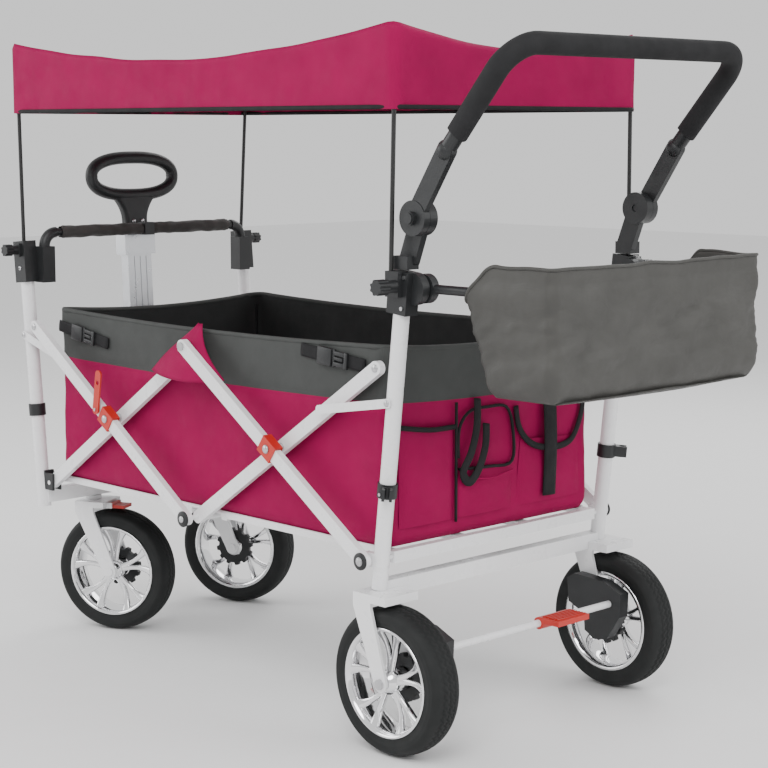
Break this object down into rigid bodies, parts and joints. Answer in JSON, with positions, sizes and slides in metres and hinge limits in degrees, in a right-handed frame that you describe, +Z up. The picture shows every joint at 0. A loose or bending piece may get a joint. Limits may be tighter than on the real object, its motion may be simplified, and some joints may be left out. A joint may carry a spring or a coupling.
{
  "type": "kids pull wagon",
  "caption": "Folding four-wheel pull wagon with a fabric basket, a canopy on rods, a swing push handle, a telescopic pull handle and a rear bag.",
  "frame": {"origin": "on the floor, under the middle of the bounding box of the whole wagon", "axes": "+X along the length towards the push handle, +Y towards the right side seen from behind the pull handle's end, +Z up"},
  "size_m": [1.3142, 0.64, 1.098],
  "materials": {
    "white_frame": "gloss",
    "steel_fasteners": "satin",
    "black_plastic": "satin",
    "black_rod": "satin",
    "magenta_fabric": "woven",
    "grey_fabric": "woven",
    "tyre_rubber": "matt",
    "chrome_rim": "polished",
    "foam_grip": "matt",
    "red_plastic": "satin",
    "aluminium_channel": "satin"
  },
  "bodies": {
    "rear_frame": {"rear_posts": "white_frame", "rear_cross_bar": "white_frame", "rear_forks": "white_frame", "rear_fasteners": "steel_fasteners", "rear_post_clips": "black_plastic", "rear_clamps": "black_plastic", "handle_uprights": "black_plastic", "brake_housings": "black_plastic", "rear_canopy_rods": "black_rod", "canopy": "magenta_fabric"},
    "rear_wheel_left": {"rear_tyre_left": "tyre_rubber", "rear_rim_left": "chrome_rim"},
    "rear_wheel_right": {"rear_tyre_right": "tyre_rubber", "rear_rim_right": "chrome_rim"},
    "brake": {"brake_rod": "white_frame", "brake_pedal": "red_plastic"},
    "push_handle": {"push_arms": "black_plastic", "push_grip": "foam_grip"},
    "button_left": {"ratchet_button_left": "black_plastic"},
    "button_right": {"ratchet_button_right": "black_plastic"},
    "bag_carrier": {"bag_frame": "black_plastic", "rear_bag": "grey_fabric"},
    "rear_knob_left": {"rear_knob_left": "black_plastic"},
    "rear_knob_right": {"rear_knob_right": "black_plastic"},
    "front_knob_left": {"front_knob_left": "black_plastic"},
    "front_knob_right": {"front_knob_right": "black_plastic"},
    "rear_outer": {"outer_bars_rear": "white_frame", "pivot_pins_rear": "steel_fasteners", "red_brackets_rear": "red_plastic"},
    "rear_inner": {"inner_bars_rear": "white_frame"},
    "front_inner": {"inner_bars_front": "white_frame"},
    "front_outer": {"outer_bars_front": "white_frame", "pivot_pins_front": "steel_fasteners", "red_brackets_front": "red_plastic"},
    "lock_strap_left": {"lock_strap_left": "red_plastic"},
    "lock_strap_right": {"lock_strap_right": "red_plastic"},
    "rear_link_pair": {"rear_links": "white_frame"},
    "front_link_pair": {"front_links": "white_frame"},
    "front_frame": {"front_posts": "white_frame", "front_cross_bar": "white_frame", "front_brackets": "black_plastic", "front_bar": "black_plastic", "front_sleeves": "grey_fabric", "front_canopy_rods": "black_rod"},
    "caster_left": {"caster_fork_left": "white_frame"},
    "caster_right": {"caster_fork_right": "white_frame"},
    "caster_lock_left": {"caster_lock_left": "red_plastic"},
    "caster_lock_right": {"caster_lock_right": "red_plastic"},
    "front_wheel_left": {"front_tyre_left": "tyre_rubber", "front_rim_left": "chrome_rim"},
    "front_wheel_right": {"front_tyre_right": "tyre_rubber", "front_rim_right": "chrome_rim"},
    "pull_post": {"pull_channel": "aluminium_channel"},
    "pull_slide": {"pull_stem": "aluminium_channel", "pull_grip": "black_plastic"},
    "floor_panel_rear": {"floor_rear": "white_frame", "floor_mat_rear": "grey_fabric"},
    "floor_panel_front": {"floor_front": "white_frame", "floor_mat_front": "grey_fabric"},
    "basket_body": {"basket": "magenta_fabric"}
  },
  "joints": [
    {"name": "fold", "type": "hinge", "parent": "rear_frame", "child": "rear_outer", "pos_m": [0.301, 0, 0.295], "axis": [0, 1, 0], "range_deg": [0, 43], "deforming": ["basket", "canopy"]},
    {"name": "rear_scissor", "type": "hinge", "parent": "rear_outer", "child": "rear_inner", "pos_m": [0.084, 0, 0.441], "axis": [0, -1, 0], "range_deg": [0, 86]},
    {"name": "middle_scissor", "type": "hinge", "parent": "rear_outer", "child": "front_inner", "pos_m": [-0.133, 0, 0.587], "axis": [0, -1, 0], "range_deg": [0, 86]},
    {"name": "front_scissor", "type": "hinge", "parent": "front_inner", "child": "front_outer", "pos_m": [-0.35, 0, 0.441], "axis": [0, 1, 0], "range_deg": [0, 86]},
    {"name": "front_frame_pivot", "type": "hinge", "parent": "front_inner", "child": "front_frame", "pos_m": [-0.567, 0, 0.295], "axis": [0, 1, 0], "range_deg": [0, 43]},
    {"name": "rear_link_pivot", "type": "hinge", "parent": "rear_frame", "child": "rear_link_pair", "pos_m": [0.34427, 0, 0.54], "axis": [0, 1, 0], "range_deg": [0, 73]},
    {"name": "front_link_pivot", "type": "hinge", "parent": "front_frame", "child": "front_link_pair", "pos_m": [-0.61876, 0, 0.567], "axis": [0, -1, 0], "range_deg": [0, 76]},
    {"name": "floor_rear_hinge", "type": "hinge", "parent": "rear_frame", "child": "floor_panel_rear", "pos_m": [0.316, 0, 0.297], "axis": [0, 1, 0], "range_deg": [0, 86]},
    {"name": "floor_front_hinge", "type": "hinge", "parent": "front_frame", "child": "floor_panel_front", "pos_m": [-0.594, 0, 0.297], "axis": [0, -1, 0], "range_deg": [0, 86]},
    {"name": "basket_lift", "type": "slide", "parent": "rear_frame", "child": "basket_body", "axis": [0, 0, 1], "range_m": [0, 0.22]},
    {"name": "rear_wheel_left_spin", "type": "hinge", "parent": "rear_frame", "child": "rear_wheel_left", "pos_m": [0.35, -0.26, 0.115], "axis": [0, 1, 0], "continuous": true},
    {"name": "rear_wheel_right_spin", "type": "hinge", "parent": "rear_frame", "child": "rear_wheel_right", "pos_m": [0.35, 0.26, 0.115], "axis": [0, 1, 0], "continuous": true},
    {"name": "brake_press", "type": "hinge", "parent": "rear_frame", "child": "brake", "pos_m": [0.388, 0, 0.158], "axis": [0, 1, 0], "range_deg": [0, 20]},
    {"name": "handle_tilt", "type": "hinge", "parent": "rear_frame", "child": "push_handle", "pos_m": [0.393, 0, 0.816], "axis": [0, 1, 0], "range_deg": [-25, 50]},
    {"name": "button_left_press", "type": "slide", "parent": "push_handle", "child": "button_left", "axis": [0, 1, 0], "range_m": [0, 0.004], "stiffness_N_per_m": 400},
    {"name": "button_right_press", "type": "slide", "parent": "push_handle", "child": "button_right", "axis": [0, -1, 0], "range_m": [0, 0.004], "stiffness_N_per_m": 400},
    {"name": "bag_fold", "type": "hinge", "parent": "rear_frame", "child": "bag_carrier", "pos_m": [0.389, 0, 0.712], "axis": [0, 1, 0], "range_deg": [0, 80], "deforming": ["rear_bag"]},
    {"name": "rear_knob_left_turn", "type": "hinge", "parent": "rear_frame", "child": "rear_knob_left", "pos_m": [0.367, -0.29, 0.716], "axis": [0, 1, 0], "continuous": true},
    {"name": "rear_knob_right_turn", "type": "hinge", "parent": "rear_frame", "child": "rear_knob_right", "pos_m": [0.367, 0.29, 0.716], "axis": [0, 1, 0], "continuous": true},
    {"name": "front_knob_left_turn", "type": "hinge", "parent": "front_frame", "child": "front_knob_left", "pos_m": [-0.63333, -0.285, 0.724], "axis": [0, 1, 0], "continuous": true},
    {"name": "front_knob_right_turn", "type": "hinge", "parent": "front_frame", "child": "front_knob_right", "pos_m": [-0.63333, 0.285, 0.724], "axis": [0, 1, 0], "continuous": true},
    {"name": "lock_strap_left_turn", "type": "hinge", "parent": "front_outer", "child": "lock_strap_left", "pos_m": [-0.372, 0, 0.456], "axis": [0, 1, 0], "range_deg": [-40, 40]},
    {"name": "lock_strap_right_turn", "type": "hinge", "parent": "front_outer", "child": "lock_strap_right", "pos_m": [-0.372, 0, 0.456], "axis": [0, 1, 0], "range_deg": [-40, 40]},
    {"name": "caster_left_swivel", "type": "hinge", "parent": "front_frame", "child": "caster_left", "pos_m": [-0.587, -0.15, 0.25], "axis": [0, 0, 1], "continuous": true},
    {"name": "front_wheel_left_spin", "type": "hinge", "parent": "caster_left", "child": "front_wheel_left", "pos_m": [-0.54423, -0.12821, 0.115], "axis": [-0.454, 0.891, 0], "continuous": true},
    {"name": "caster_lock_left_press", "type": "hinge", "parent": "caster_left", "child": "caster_lock_left", "pos_m": [-0.5478, -0.13002, 0.239], "axis": [-0.454, 0.891, 0], "range_deg": [0, 7]},
    {"name": "caster_right_swivel", "type": "hinge", "parent": "front_frame", "child": "caster_right", "pos_m": [-0.587, 0.15, 0.25], "axis": [0, 0, 1], "continuous": true},
    {"name": "front_wheel_right_spin", "type": "hinge", "parent": "caster_right", "child": "front_wheel_right", "pos_m": [-0.54423, 0.17179, 0.115], "axis": [-0.454, 0.891, 0], "continuous": true},
    {"name": "caster_lock_right_press", "type": "hinge", "parent": "caster_right", "child": "caster_lock_right", "pos_m": [-0.5478, 0.16998, 0.239], "axis": [-0.454, 0.891, 0], "range_deg": [0, 7]},
    {"name": "pull_tilt", "type": "hinge", "parent": "front_frame", "child": "pull_post", "pos_m": [-0.618, 0, 0.268], "axis": [0, -1, 0], "range_deg": [0, 75]},
    {"name": "pull_extend", "type": "slide", "parent": "pull_post", "child": "pull_slide", "axis": [-0.0523, 0, 0.9986], "range_m": [0, 0.35]}
  ],
  "couplings": [
    {"joint": "rear_scissor", "follows": "fold", "ratio": 2},
    {"joint": "middle_scissor", "follows": "fold", "ratio": 2},
    {"joint": "front_scissor", "follows": "fold", "ratio": 2},
    {"joint": "front_frame_pivot", "follows": "fold", "ratio": 1},
    {"joint": "rear_link_pivot", "follows": "fold", "ratio": 1.672},
    {"joint": "front_link_pivot", "follows": "fold", "ratio": 1.753},
    {"joint": "floor_rear_hinge", "follows": "fold", "ratio": 2},
    {"joint": "floor_front_hinge", "follows": "fold", "ratio": 2},
    {"joint": "basket_lift", "follows": "fold", "m_per_rad": 0.2898}
  ]
}
